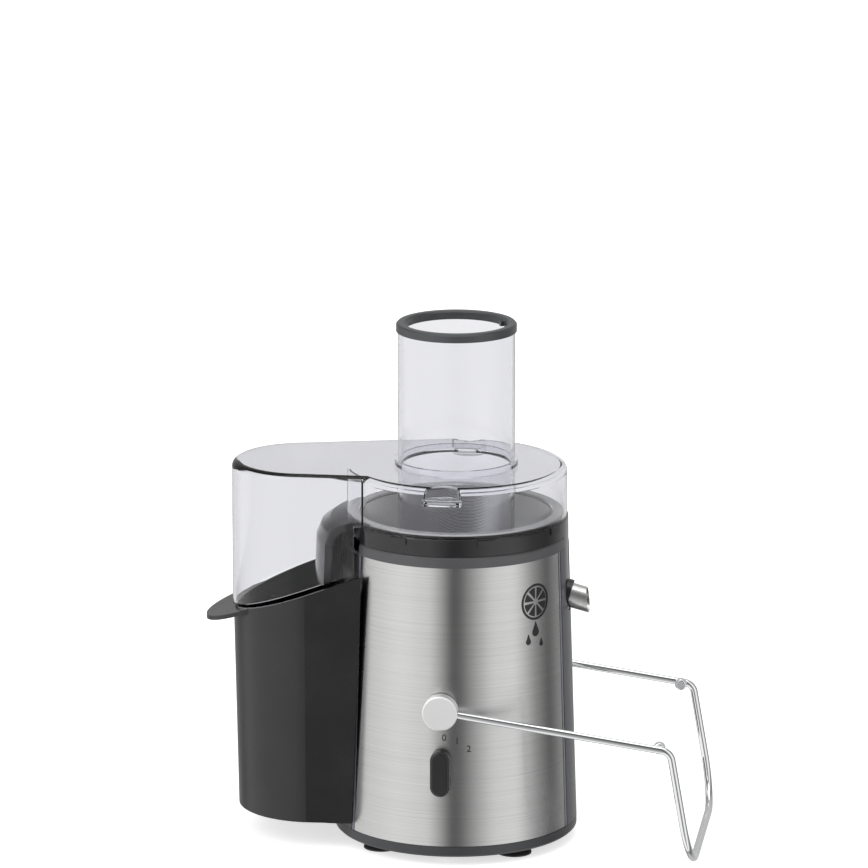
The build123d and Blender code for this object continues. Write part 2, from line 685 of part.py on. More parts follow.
def awning_outline(thickness):
    """(radius, height) outline of the awning: up from the edge of the bowl's rim plate, over, and down."""
    top = COLLAR_Z
    inner = thickness
    return [
        (PLATE_R, PLATE_Z), (TOP_R + 0.6, PLATE_Z), (TOP_R + 0.6, top - inner), (84.0, top - inner - 1.6),
        (90.0, top - inner - 6.0), (AWNING_R - inner - 2.0, top - 16.0), (AWNING_R - inner, AWNING_Z),
        (AWNING_R, AWNING_Z), (AWNING_R - 1.2, top - 14.0), (92.5, top - 6.0), (86.0, top - 1.6),
        (TOP_R, top), (BAND_R, top), (BAND_R, PLATE_Z + PLATE_T), (PLATE_R, PLATE_Z + PLATE_T),
    ]


with BuildPart() as drum_envelope:
    add(turned([(0, 150.0), (shell_r(150.0), 150.0), (shell_r(COLLAR_Z), COLLAR_Z), (0, COLLAR_Z)]))

with BuildPart() as spout_housing:
    with BuildSketch(Plane.YZ.offset(55.0)):
        with Locations((0, NOTCH_Z)):
            Circle(NOTCH_R - 0.5)
        with Locations((0, (NOTCH_Z + PLATE_Z) / 2)):
            Rectangle(2 * NOTCH_R - 1.0, PLATE_Z - NOTCH_Z)
    extrude(amount=35.0)
    with BuildSketch(Plane.XY.offset(RIM_Z - 30)):
        with Locations((63.0, 0)):
            Rectangle(12.0, 44.0)
    extrude(amount=30 + GAP)
    add(drum_envelope.part, mode=Mode.INTERSECT)
    add(turned([(0, BOWL_FLOOR_Z + 1), (WALL_LOW_R - CORNER_R, BOWL_FLOOR_Z + 1), (WALL_LOW_R - 1, bend_z),
                (WALL_HIGH_R - 2, PLATE_Z - 3), (WALL_HIGH_R - 2, PLATE_Z + 1), (0, PLATE_Z + 1)]),
        mode=Mode.SUBTRACT)

with BuildPart() as juice_bowl:
    with BuildSketch(Plane.XZ):
        with BuildLine():
            Polyline((WALL_LOW_R, bend_z), (WALL_HIGH_R, PLATE_Z), (PLATE_R, PLATE_Z),
                     (PLATE_R, PLATE_Z + PLATE_T), (LIP_TOP_R, PLATE_Z + PLATE_T),
                     (LIP_R, PLATE_Z - 8.0), (LIP_R, PLATE_Z - 10.0), (WALL_HIGH_R - 3.0, PLATE_Z - 3.5),
                     (WALL_LOW_R - BOWL_T, bend_z))
            CenterArc((WALL_LOW_R - CORNER_R, bend_z), CORNER_R - BOWL_T, -90, 90)
            Polyline((WALL_LOW_R - CORNER_R, BOWL_FLOOR_Z + BOWL_T), (SLEEVE_R, BOWL_FLOOR_Z + BOWL_T),
                     (SLEEVE_R, BOWL_FLOOR_Z), (WALL_LOW_R - CORNER_R, BOWL_FLOOR_Z))
            CenterArc((WALL_LOW_R - CORNER_R, bend_z), CORNER_R, -90, 90)
        make_face()
    revolve(axis=Axis.Z)
    add(spout_housing.part)
    add(turned([(WALL_HIGH_R, PLATE_Z), (TOP_R, PLATE_Z), (TOP_R, COLLAR_Z - 0.8), (TOP_R - 0.6, COLLAR_Z),
                (BAND_R + 0.4, COLLAR_Z), (BAND_R, COLLAR_Z - 0.4), (BAND_R, PLATE_Z + PLATE_T),
                (WALL_HIGH_R, PLATE_Z + PLATE_T)], -PANEL_END + 0.3, band_sweep))
    for lug_angle in (-118.0, -72.0, -26.0):
        add(turned([(TOP_R - 0.4, COLLAR_Z - 5.0), (TOP_R + 0.9, COLLAR_Z - 5.0), (TOP_R + 0.9, COLLAR_Z - 0.6),
                    (TOP_R - 0.4, COLLAR_Z - 0.2)], lug_angle, 9.0))
    # Collar and bore of the juice spout
    with BuildSketch(spout_plane):
        Circle(SPOUT_R + 2.0)
    extrude(amount=SPOUT_COLLAR)
    with BuildSketch(spout_plane):
        Circle(SPOUT_R)
    extrude(amount=spout_len, mode=Mode.SUBTRACT)
    with BuildSketch(spout_plane.offset(-14.0)):
        Circle(SPOUT_R - 1.5)
    extrude(amount=20.0, mode=Mode.SUBTRACT)
save(juice_bowl.part, "juice_bowl")

# Sleeve pressed into the bowl's floor, which keeps juice off the drive
with BuildPart() as bowl_sleeve:
    add(turned([(BOWL_HOLE_R, BOWL_FLOOR_Z), (SLEEVE_R, BOWL_FLOOR_Z), (SLEEVE_R, BOWL_HUB_Z),
                (BOWL_HOLE_R, BOWL_HUB_Z)]))
save(bowl_sleeve.part, "bowl_sleeve")

# Pulp awning: a curved visor over the container, thicker at its two ends
with BuildPart() as bowl_awning:
    add(turned(awning_outline(AWNING_T), 180 - AWNING_HALF, 2 * AWNING_HALF))
    for end in (180 - AWNING_HALF, 180 + AWNING_HALF - RIB_ANGLE):
        add(turned(awning_outline(2 * AWNING_T), end, RIB_ANGLE))
save(bowl_awning.part, "bowl_awning")

with BuildPart() as juice_spout:
    with BuildSketch(spout_plane):
        Circle(SPOUT_R)
        Circle(SPOUT_R - 0.8, mode=Mode.SUBTRACT)
    extrude(amount=spout_len)
    with BuildSketch(Plane.XZ):
        with BuildLine():
            Polyline((60, 150), (SPOUT_TIP_X - 1, 150), (SPOUT_TIP_X - 5, 190), (60, 190), close=True)
        make_face()
    extrude(amount=20, both=True, mode=Mode.INTERSECT)
save(juice_spout.part, "juice_spout")

# ---------------------------------------------------------------- clear lid
chute_tilt = degrees(asin((LID_R - CHUTE_R) / CHUTE_X))


def chute_outline(inset):
    """Plan of the pulp chute, which leaves the lid along its rear tangent and ends round."""
    lean = radians(90 + chute_tilt)
    big = LID_R - inset
    small = CHUTE_R - inset
    with BuildSketch() as outline:
        with BuildLine():
            Polyline((0, -small), (0, big), (big * cos(lean), big * sin(lean)),
                     (small * cos(lean) - CHUTE_X, small * sin(lean)))
            ThreePointArc((small * cos(lean) - CHUTE_X, small * sin(lean)), (-CHUTE_X - small, 0),
                          (-CHUTE_X, -small))
            Line((-CHUTE_X, -small), (0, -small))
        make_face()
    return outline.sketch


def chute_side(start, lower):
    """Side view of the chute below the lid, its lower edge sloping like the container's rim."""
    end = CHUTE_X + CHUTE_R + 5
    edge_z = CHUTE_Z - lower
    with BuildSketch(Plane.XZ) as outline:
        with BuildLine():
            Polyline((30, LID_Z), (30, STEP_Z), (-start, STEP_Z), (-start, edge_z),
                     (-end, edge_z - (end - CHUTE_START) * RIM_SLOPE), (-end, LID_Z), close=True)
        make_face()
    return outline.sketch


def chute_solid(inset, top, start, lower):
    """Chute volume common to its plan and its side view."""
    plan = extrude(Plane.XY.offset(CHUTE_Z - 60) * chute_outline(inset), amount=top - CHUTE_Z + 60)
    side = extrude(chute_side(start, lower), amount=LID_R + 10, both=True)
    return plan & side


chute_outside = chute_solid(0.0, LID_Z, CHUTE_START, 0.0)
chute_inside = chute_solid(LID_T, LID_Z - LID_T, CHUTE_START - 6, 20.0)

with BuildPart() as lid_cavity:
    add(turned([(0, STEP_Z + LID_T), (LID_R - LID_T, STEP_Z + LID_T), (LID_R - LID_T, LID_Z - 5.0),
                (LID_R - LID_T - 1.2, LID_Z - 3.0), (LID_R - 5.0, LID_Z - LID_T), (0, LID_Z - LID_T)]))
    add(chute_inside)
    with BuildSketch(Plane.XY.offset(LUG_Z - LUG_T)):
        with Locations((0, LUG_Y), (0, -LUG_Y)):
            Circle(LUG_R)
    extrude(amount=LID_Z - LUG_Z + LUG_T, mode=Mode.SUBTRACT)

with BuildPart() as lid_cover:
    with BuildSketch(Plane.XY.offset(STEP_Z)):
        Circle(LID_R)
    extrude(amount=LID_Z - STEP_Z)
    add(chute_outside)
    fillet(lid_cover.faces().sort_by(Axis.Z)[-1].edges(), radius=5.0)
    add(lid_cavity.part, mode=Mode.SUBTRACT)
    # Stepped skirt that nests in the bowl's upstand and the rear collar
    with BuildSketch(Plane.XY.offset(SKIRT_Z)):
        Circle(SKIRT_R)
        Circle(SKIRT_R - SKIRT_T, mode=Mode.SUBTRACT)
    extrude(amount=STEP_Z - SKIRT_Z + LID_T)
    with BuildSketch(Plane.XY.offset(STEP_Z)):
        Circle(SKIRT_R - SKIRT_T)
    extrude(amount=LID_T, mode=Mode.SUBTRACT)
    # Fin that guides the pulp into the chute
    add(turned([(LID_R - LID_T, STEP_Z), (LID_R, STEP_Z), (LID_R, LID_Z - 1.0), (LID_R - LID_T, LID_Z - 1.0)],
               -161.0, 22.0))
    # Lugs that the bail's beads press on, under D-shaped pockets
    with BuildSketch(Plane.XY.offset(LUG_Z - LUG_T)):
        with Locations((0, LUG_Y), (0, -LUG_Y)):
            Circle(LUG_R)
        Rectangle(2 * LUG_R, 2 * LUG_OUT, mode=Mode.INTERSECT)
        Circle(LID_R - LID_T, mode=Mode.SUBTRACT)
    extrude(amount=LUG_T)
    with BuildSketch(Plane.XY.offset(LUG_Z)):
        with Locations((0, LUG_Y), (0, -LUG_Y)):
            Circle(LUG_R - 1.6)
    extrude(amount=LID_Z - LUG_Z + 1, mode=Mode.SUBTRACT)
    # Socket for the feed tube
    with BuildSketch(Plane.XY.offset(LID_Z - LID_T)):
        Circle(TUBE_R + 2.2)
    extrude(amount=LID_T + 4.0)
    with BuildSketch(Plane.XY.offset(LID_Z - LID_T - 1)):
        Circle(TUBE_R)
    extrude(amount=LID_T + 8.0, mode=Mode.SUBTRACT)
save(lid_cover.part, "lid_cover")

with BuildPart() as feed_tube:
    with BuildSketch(Plane.XY.offset(TUBE_Z)):
        Circle(TUBE_R)
        Circle(TUBE_R - TUBE_T, mode=Mode.SUBTRACT)
    extrude(amount=TUBE_TOP - TUBE_Z)
save(feed_tube.part, "feed_tube")

with BuildPart() as tube_ring:
    add(turned([(34.85, TUBE_TOP), (41.2, TUBE_TOP), (41.2, RING_TOP - 1.2), (40.0, RING_TOP), (36.0, RING_TOP),
                (34.85, RING_TOP - 1.0)]))
    with BuildSketch(Plane.XY.offset(TUBE_TOP)):
        with Locations((30.0, 18.5)):
            Rectangle(5.0, 3.0, rotation=32)
    extrude(amount=3.0)
save(tube_ring.part, "tube_ring")

# ---------------------------------------------------------------- locking bail
arm_dir = (cos(radians(ARM_DROP)), -sin(radians(ARM_DROP)))
leg_angle = radians(ARM_DROP + LEG_TURN)
bend_at = (ARM_LEN * arm_dir[0], PIVOT_Z + ARM_LEN * arm_dir[1])
end_at = (bend_at[0] + LEG_LEN * cos(leg_angle), bend_at[1] - LEG_LEN * sin(leg_angle))
root_at = (DISC_R * arm_dir[0], PIVOT_Z + DISC_R * arm_dir[1])
bead_at = (BEAD_AT * arm_dir[0], PIVOT_Z + BEAD_AT * arm_dir[1])
rod_start = Plane(origin=(root_at[0], -ARM_Y, root_at[1]), x_dir=(0, 1, 0), z_dir=(arm_dir[0], 0, arm_dir[1]))

with BuildPart() as bail_wire:
    with BuildLine():
        FilletPolyline(
            (root_at[0], -ARM_Y, root_at[1]), (bend_at[0], -ARM_Y, bend_at[1]), (end_at[0], -ARM_Y, end_at[1]),
            (end_at[0], ARM_Y, end_at[1]), (bend_at[0], ARM_Y, bend_at[1]), (root_at[0], ARM_Y, root_at[1]),
            radius=(8.0, 34.0, 34.0, 8.0),
        )
    with BuildSketch(rod_start):
        Circle(ROD_R)
    sweep()
save(bail_wire.part, "bail_wire")

with BuildPart() as bail_beads:
    with BuildSketch(Plane.XZ.offset(ARM_Y - 8.6)):
        with Locations(bead_at):
            Circle(BEAD_R)
    extrude(amount=6.6)
    fillet(bail_beads.edges().filter_by(GeomType.CIRCLE), radius=1.2)
    with BuildSketch(rod_start):
        Circle(ROD_R)
    extrude(amount=ARM_LEN, mode=Mode.SUBTRACT)
    mirror(about=Plane.XZ)
save(bail_beads.part, "bail_beads")

with BuildPart() as pivot_discs:
    with BuildSketch(Plane.XZ.offset(DISC_IN)):
        with Locations((0, PIVOT_Z)):
            Circle(DISC_R)
    extrude(amount=DISC_OUT - DISC_IN)
    chamfer(pivot_discs.edges().group_by(Axis.Y)[0], length=0.8)
    with BuildSketch(rod_start.offset(-6.0)):
        Circle(ROD_R)
    extrude(amount=7.0, mode=Mode.SUBTRACT)
    mirror(about=Plane.XZ)
save(pivot_discs.part, "pivot_discs")

with BuildPart() as pivot_pins:
    with BuildSketch(Plane.XZ.offset(64.0)):
        with Locations((0, PIVOT_Z)):
            Circle(PIN_R)
    extrude(amount=DISC_IN - 64.0)
    mirror(about=Plane.XZ)
save(pivot_pins.part, "pivot_pins")

with BuildPart() as pin_clips:
    with BuildSketch(Plane.XZ.offset(69.2)):
        with Locations((0, PIVOT_Z)):
            Circle(7.0)
            Circle(PIN_R, mode=Mode.SUBTRACT)
    extrude(amount=1.2)
    mirror(about=Plane.XZ)
save(pin_clips.part, "pin_clips")

with BuildPart() as interlock_cam:
    with BuildSketch(Plane.XZ.offset(64.2)):
        with Locations((0, PIVOT_Z)):
            Circle(8.0)
            Rectangle(7.0, 24.0, rotation=8)
            Circle(PIN_R, mode=Mode.SUBTRACT)
    extrude(amount=3.6)
save(interlock_cam.part, "interlock_cam")

# ---------------------------------------------------------------- knob
with BuildPart() as speed_knob:
    with BuildSketch(Plane.XZ.offset(KNOB_IN)):
        with Locations((0, KNOB_Z)):
            SlotOverall(KNOB_L, KNOB_W, rotation=90)
    extrude(amount=DISC_OUT - 0.1 - KNOB_IN)
    fillet(speed_knob.edges().group_by(Axis.Y)[0], radius=2.0)
    with BuildSketch(Plane.XZ.offset(60.0)):
        with Locations((0, KNOB_Z)):
            Circle(3.0)
    extrude(amount=KNOB_IN - 60.0)
save(speed_knob.part, "speed_knob")

# ---------------------------------------------------------------- pulp container
CUP_H = 200.0


def cup_outline(inset, grow):
    """Plan of the container, a crescent that hugs the base; grow is the draft's spread at this height."""
    horn_y = CUP_HORN_Y - inset + grow
    back_r = CUP_R + inset - grow
    horn_x = (back_r ** 2 - horn_y ** 2) ** 0.5
    rounded = CUP_ROUND - inset + grow
    with BuildSketch() as outline:
        with BuildLine():
            ThreePointArc((-horn_x, horn_y), (-back_r, 0), (-horn_x, -horn_y))
            Line((-horn_x, -horn_y), (-CUP_X, -rounded))
            ThreePointArc((-CUP_X, -rounded), (-CUP_X - rounded, 0), (-CUP_X, rounded))
            Line((-CUP_X, rounded), (-horn_x, horn_y))
        make_face()
    return outline.sketch


def cup_solid(inset):
    """Tapered block of the container, inset from its outer surface all round."""
    foot = Plane.XY.offset(CUP_Z) * cup_outline(inset, 0.0)
    head = Plane.XY.offset(CUP_Z + CUP_H) * cup_outline(inset, CUP_H * tan(radians(CUP_TAPER)))
    return loft([foot.face(), head.face()], ruled=True)


def rim_cutter(x, z, depth):
    """Everything above the sloping rim, as a slab whose lower face passes through (x, z)."""
    with BuildSketch(Plane.XZ) as outline:
        with BuildLine():
            Polyline((x + 40, z + 40 * RIM_SLOPE), (x - 120, z - 120 * RIM_SLOPE),
                     (x - 120, z + depth), (x + 40, z + depth), close=True)
        make_face()
    return extrude(outline.sketch, amount=90, both=True)


LIP_X = 173.6
LIP_HALF = 33.0
above_rim = rim_cutter(-CHUTE_START, CUP_TOP, 80.0)
above_lip_foot = rim_cutter(-CHUTE_START, CUP_TOP - 3.0, 80.0)
cup_outside = cup_solid(0.0)
cup_inside = cup_solid(CUP_T)
cup_hollow = cup_inside & Pos(-120, 0, CUP_FLOOR_Z + CUP_T + 150) * Box(160, 160, 300)
foot_hollow = cup_inside & Pos(-120, 0, CUP_FLOOR_Z - 50) * Box(160, 160, 100)

with BuildPart() as cup_lip:
    with BuildSketch(Plane.XY.offset(120.0)):
        with Locations((-138.0, 0)):
            Ellipse(LIP_X - 138.0, LIP_HALF + 6)
    extrude(amount=70)
    add(above_lip_foot, mode=Mode.INTERSECT)
    add(cup_inside, mode=Mode.SUBTRACT)

with BuildPart() as pulp_container:
    add(cup_outside)
    add(cup_lip.part)
    add(above_rim, mode=Mode.SUBTRACT)
    add(cup_hollow, mode=Mode.SUBTRACT)
    add(foot_hollow, mode=Mode.SUBTRACT)
    with BuildSketch(Plane.YZ.offset(-CUP_R - 6)):
        with Locations((0, CUP_BACK_Z + 30)):
            Rectangle(98.0, 60.0)
        with Locations((0, CUP_FLOOR_Z - 15)):
            Rectangle(2 * SHELF_HALF + 5.0, 30.0)
    extrude(amount=40, mode=Mode.SUBTRACT)
    for side in (-1, 1):
        with BuildSketch(Plane.XY.offset(PANEL_Z + SHELF_T + GAP)):
            with Locations((-104.0, side * 4.2)):
                Rectangle(30.0, 1.8)
        extrude(amount=CUP_FLOOR_Z - PANEL_Z - SHELF_T)
save(pulp_container.part, "pulp_container")
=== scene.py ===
"""Looks of the centrifugal juicer: materials, printed marks and studio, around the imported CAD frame."""

import json
import math

import bmesh
import bpy
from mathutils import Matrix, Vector


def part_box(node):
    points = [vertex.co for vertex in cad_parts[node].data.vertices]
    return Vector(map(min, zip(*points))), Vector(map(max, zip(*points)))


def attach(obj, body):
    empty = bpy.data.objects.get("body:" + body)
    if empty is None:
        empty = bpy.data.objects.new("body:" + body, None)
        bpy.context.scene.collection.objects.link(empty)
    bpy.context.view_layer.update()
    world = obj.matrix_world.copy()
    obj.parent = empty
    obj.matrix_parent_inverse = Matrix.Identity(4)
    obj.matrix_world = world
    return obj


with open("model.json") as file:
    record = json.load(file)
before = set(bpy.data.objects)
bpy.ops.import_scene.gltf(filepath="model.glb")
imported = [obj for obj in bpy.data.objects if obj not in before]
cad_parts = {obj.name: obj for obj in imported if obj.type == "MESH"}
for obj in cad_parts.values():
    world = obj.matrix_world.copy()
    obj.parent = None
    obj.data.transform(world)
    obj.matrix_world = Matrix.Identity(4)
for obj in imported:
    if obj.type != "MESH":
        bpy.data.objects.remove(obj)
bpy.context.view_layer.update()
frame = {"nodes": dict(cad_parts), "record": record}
nodes = frame["nodes"]
MM = 0.001


# ---------------------------------------------------------------- shader helpers
def new_material(name):
    """Material with an empty Principled shader; returns (material, node tree, shader)."""
    mat = bpy.data.materials.new(name)
    mat.use_nodes = True
    tree = mat.node_tree
    return mat, tree, tree.nodes["Principled BSDF"]


def object_noise(tree, scale, stretch=(1, 1, 1), detail=4.0):
    """Noise over the object's own coordinates, in metres, stretched per axis."""
    place = tree.nodes.new("ShaderNodeTexCoord")
    mapping = tree.nodes.new("ShaderNodeMapping")
    mapping.inputs["Scale"].default_value = stretch
    noise = tree.nodes.new("ShaderNodeTexNoise")
    noise.inputs["Scale"].default_value = scale
    noise.inputs["Detail"].default_value = detail
    tree.links.new(place.outputs["Object"], mapping.inputs["Vector"])
    tree.links.new(mapping.outputs["Vector"], noise.inputs["Vector"])
    return noise.outputs["Fac"]


def spread(tree, value, low, high):
    """Maps a 0..1 value to low..high."""
    node = tree.nodes.new("ShaderNodeMapRange")
    node.inputs["From Min"].default_value = 0.25
    node.inputs["From Max"].default_value = 0.75
    node.inputs["To Min"].default_value = low
    node.inputs["To Max"].default_value = high
    tree.links.new(value, node.inputs["Value"])
    return node.outputs["Result"]


def tint(tree, value, dark, light):
    """Colour between dark and light as value goes from 0 to 1."""
    ramp = tree.nodes.new("ShaderNodeValToRGB")
    ramp.color_ramp.elements[0].position = 0.3
    ramp.color_ramp.elements[1].position = 0.7
    ramp.color_ramp.elements[0].color = (*dark, 1)
    ramp.color_ramp.elements[1].color = (*light, 1)
    tree.links.new(value, ramp.inputs["Fac"])
    return ramp.outputs["Color"]


def bump(tree, shader, value, distance, strength=0.5):
    """Relief on the shader's normal, its depth in metres."""
    node = tree.nodes.new("ShaderNodeBump")
    node.inputs["Strength"].default_value = strength
    node.inputs["Distance"].default_value = distance
    tree.links.new(value, node.inputs["Height"])
    tree.links.new(node.outputs["Normal"], shader.inputs["Normal"])


# ---------------------------------------------------------------- materials
def plastic(name, dark, light, rough, grain=0.00002):
    """Moulded plastic: slight colour drift and a fine moulded grain."""
    mat, tree, shader = new_material(name)
    drift = object_noise(tree, 30.0, detail=3.0)
    fine = object_noise(tree, 1600.0, detail=2.0)
    tree.links.new(tint(tree, drift, dark, light), shader.inputs["Base Color"])
    tree.links.new(spread(tree, drift, rough - 0.04, rough + 0.04), shader.inputs["Roughness"])
    bump(tree, shader, fine, grain)
    shader.inputs["IOR"].default_value = 1.5
    return mat


def brushed_metal(name, dark, light, rough, stretch, anisotropy=0.0):
    """Sheet metal with fine brush lines; stretch is small along the lines and large across them."""
    mat, tree, shader = new_material(name)
    lines = object_noise(tree, 1.0, stretch, detail=6.0)
    cloud = object_noise(tree, 14.0, detail=2.0)
    tree.links.new(tint(tree, lines, dark, light), shader.inputs["Base Color"])
    tree.links.new(spread(tree, cloud, rough - 0.03, rough + 0.03), shader.inputs["Roughness"])
    bump(tree, shader, lines, 0.0000015, 0.2)
    shader.inputs["Metallic"].default_value = 1.0
    shader.inputs["Anisotropic"].default_value = anisotropy
    shader.inputs["Anisotropic Rotation"].default_value = QUARTER_TURN
    return mat


def polished_metal(name, colour, rough):
    """Polished or plated metal with faint handling marks in its gloss."""
    mat, tree, shader = new_material(name)
    marks = object_noise(tree, 60.0, detail=5.0)
    tree.links.new(spread(tree, marks, rough, rough + 0.05), shader.inputs["Roughness"])
    shader.inputs["Base Color"].default_value = (*colour, 1)
    shader.inputs["Metallic"].default_value = 1.0
    return mat


def clear_plastic(name):
    """Clear moulded plastic with a faint violet cast."""
    mat, tree, shader = new_material(name)
    ripple = object_noise(tree, 25.0, detail=1.0)
    bump(tree, shader, ripple, 0.0004, 0.15)
    shader.inputs["Base Color"].default_value = (0.925, 0.926, 0.950, 1)
    shader.inputs["Roughness"].default_value = 0.02
    shader.inputs["IOR"].default_value = 1.36
    shader.inputs["Transmission Weight"].default_value = 1.0
    return mat


def mesh_sheet(name):
    """Etched filter mesh: steel with rows of fine holes that let light through, and painted shade in the holes.
    """
    mat, tree, shader = new_material(name)
    place = tree.nodes.new("ShaderNodeTexCoord")
    holes = tree.nodes.new("ShaderNodeTexVoronoi")
    holes.inputs["Scale"].default_value = 900.0
    holes.inputs["Randomness"].default_value = 0.15
    tree.links.new(place.outputs["Object"], holes.inputs["Vector"])
    solid_and_hole_shade = tree.nodes.new("ShaderNodeMapRange")
    solid_and_hole_shade.inputs["From Min"].default_value = 0.25
    solid_and_hole_shade.inputs["From Max"].default_value = 0.45
    solid_and_hole_shade.inputs["To Min"].default_value = 0.45
    tree.links.new(holes.outputs["Distance"], solid_and_hole_shade.inputs["Value"])
    tree.links.new(solid_and_hole_shade.outputs["Result"], shader.inputs["Alpha"])
    # The same mask darkens the steel in and round the holes: painted shade in the holes
    tree.links.new(tint(tree, solid_and_hole_shade.outputs["Result"], (0.30, 0.30, 0.30), (0.66, 0.66, 0.65)),
                   shader.inputs["Base Color"])
    bump(tree, shader, holes.outputs["Distance"], 0.0001, 0.6)
    shader.inputs["Metallic"].default_value = 1.0
    shader.inputs["Roughness"].default_value = 0.34
    return mat


def wound_wire(name):
    """Enamelled copper wire wound in rows."""
    mat, tree, shader = new_material(name)
    rows = object_noise(tree, 1.0, (40, 40, 2500), detail=2.0)
    tree.links.new(tint(tree, rows, (0.30, 0.09, 0.03), (0.75, 0.33, 0.14)), shader.inputs["Base Color"])
    bump(tree, shader, rows, 0.0002)
    shader.inputs["Metallic"].default_value = 0.85
    shader.inputs["Roughness"].default_value = 0.35
    return mat


QUARTER_TURN = 0.25
LINES_ROUND = (5, 5, 2600)      # brush lines run round the drum
LINES_FINE = (300, 300, 300)
looks = {
    "brushed_steel": brushed_metal("brushed_steel", (0.54, 0.54, 0.535), (0.62, 0.62, 0.615), 0.26, LINES_ROUND,
                                   0.75),
    "basket_steel": brushed_metal("basket_steel", (0.62, 0.62, 0.61), (0.72, 0.72, 0.71), 0.22, LINES_FINE),
    "mesh_steel": mesh_sheet("mesh_steel"),
    "chrome": polished_metal("chrome", (0.86, 0.87, 0.88), 0.03),
    "disc_metal": polished_metal("disc_metal", (0.96, 0.96, 0.96), 0.50),
    "plated_steel": brushed_metal("plated_steel", (0.48, 0.48, 0.46), (0.62, 0.62, 0.60), 0.3, LINES_FINE),
    "lamination": brushed_metal("lamination", (0.10, 0.10, 0.11), (0.24, 0.24, 0.25), 0.45, (20, 20, 2000)),
    "copper": wound_wire("copper"),
    "clear_plastic": clear_plastic("clear_plastic"),
    "dark_plastic": plastic("dark_plastic", (0.030, 0.031, 0.034), (0.040, 0.041, 0.044), 0.36),
    "column_plastic": plastic("column_plastic", (0.042, 0.043, 0.048), (0.056, 0.057, 0.063), 0.30),
    "rim_grey": plastic("rim_grey", (0.060, 0.060, 0.064), (0.075, 0.075, 0.079), 0.34),
    "trim_grey": plastic("trim_grey", (0.12, 0.125, 0.15), (0.15, 0.155, 0.18), 0.18, 0.0),
    "black_plastic": plastic("black_plastic", (0.012, 0.012, 0.013), (0.018, 0.018, 0.019), 0.16, 0.000004),
    "black_satin": plastic("black_satin", (0.009, 0.009, 0.0095), (0.013, 0.013, 0.0135), 0.26),
    "ring_plastic": plastic("ring_plastic", (0.040, 0.044, 0.046), (0.055, 0.060, 0.062), 0.35),
    "white_plastic": plastic("white_plastic", (0.70, 0.70, 0.66), (0.78, 0.78, 0.74), 0.45),
    "carbon": plastic("carbon", (0.02, 0.02, 0.02), (0.05, 0.05, 0.05), 0.6),
    "rubber": plastic("rubber", (0.012, 0.012, 0.012), (0.024, 0.024, 0.024), 0.55, 0.00005),
}
for part in frame["record"]["subparts"]:
    slots = nodes[part["node"]].data.materials
    slots.clear()
    slots.append(looks[part["material_slot"]])

# ---------------------------------------------------------------- printed marks on the front panel
front_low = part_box("front_panel")[0]
knob_low, knob_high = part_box("speed_knob")
knob_z = (knob_low.z + knob_high.z) / 2
DRUM_BOTTOM_R = 83.0 * MM     # outside of the steel drum at the panel's foot
DRUM_TOP_R = 76.5 * MM        # and at DRUM_TOP_Z
DRUM_TOP_Z = 215.0 * MM
INK_LIFT = 0.12 * MM          # printed ink stands this far off the steel
INK_T = 0.06 * MM
INK_EDGE = 1.2 * MM           # longest edge of the printed mesh, so that it follows the drum
DIGIT_SIZE = 6.4 * MM
DIGITS = (("0", 2.1 * MM, 23.8 * MM), ("1", 10.9 * MM, 21.6 * MM), ("2", 18.9 * MM, 16.0 * MM))
SLICE_U = 69.5 * MM           # the slice's middle, round the drum from its front
SLICE_Z = 179.0 * MM
SLICE_R = 12.5 * MM
PEEL = 1.6 * MM
PITH = 1.0 * MM               # gap between the peel and the wedges
HEART_R = 1.9 * MM            # the wedges' points stand on this circle
WEDGES = 8
WEDGE_HALF = 17               # degrees
DROPS = ((0.0, -21.0 * MM, 3.0 * MM, 7.5 * MM), (-6.5 * MM, -27.0 * MM, 2.1 * MM, 5.4 * MM),
         (5.5 * MM, -30.0 * MM, 1.6 * MM, 4.2 * MM))
ink = plastic("ink", (0.008, 0.008, 0.009), (0.014, 0.014, 0.016), 0.30, 0.0)


def drum_radius(z):
    """Outer radius of the steel drum at a height."""
    share = (z - front_low.z) / (DRUM_TOP_Z - front_low.z)
    return DRUM_BOTTOM_R + (DRUM_TOP_R - DRUM_BOTTOM_R) * share


def on_drum(u, z, lift):
    """Point at arc distance u to the right of the front's middle, at height z, lifted off the steel."""
    radius = drum_radius(z)
    turn = u / radius
    return Vector(((radius + lift) * math.sin(turn), -(radius + lift) * math.cos(turn), z))


def printed(name, outlines, u, z):
    """Flat closed outlines, in metres, wrapped onto the drum."""
    curve = bpy.data.curves.new(name, "CURVE")
    curve.dimensions = "2D"
    curve.fill_mode = "BOTH"
    for points in outlines:
        spline = curve.splines.new("POLY")
        spline.points.add(len(points) - 1)
        for spot, (x, y) in zip(spline.points, points):
            spot.co = (x, y, 0, 1)
        spline.use_cyclic_u = True
    wrap_print(bpy.data.objects.new(name, curve), name, u, z)


def printed_digit(name, digit, u, z):
    """One dial digit wrapped onto the drum."""
    curve = bpy.data.curves.new(name, "FONT")
    curve.body = digit
    curve.size = DIGIT_SIZE
    curve.align_x = "CENTER"
    curve.align_y = "CENTER"
    wrap_print(bpy.data.objects.new(name, curve), name, u, z)


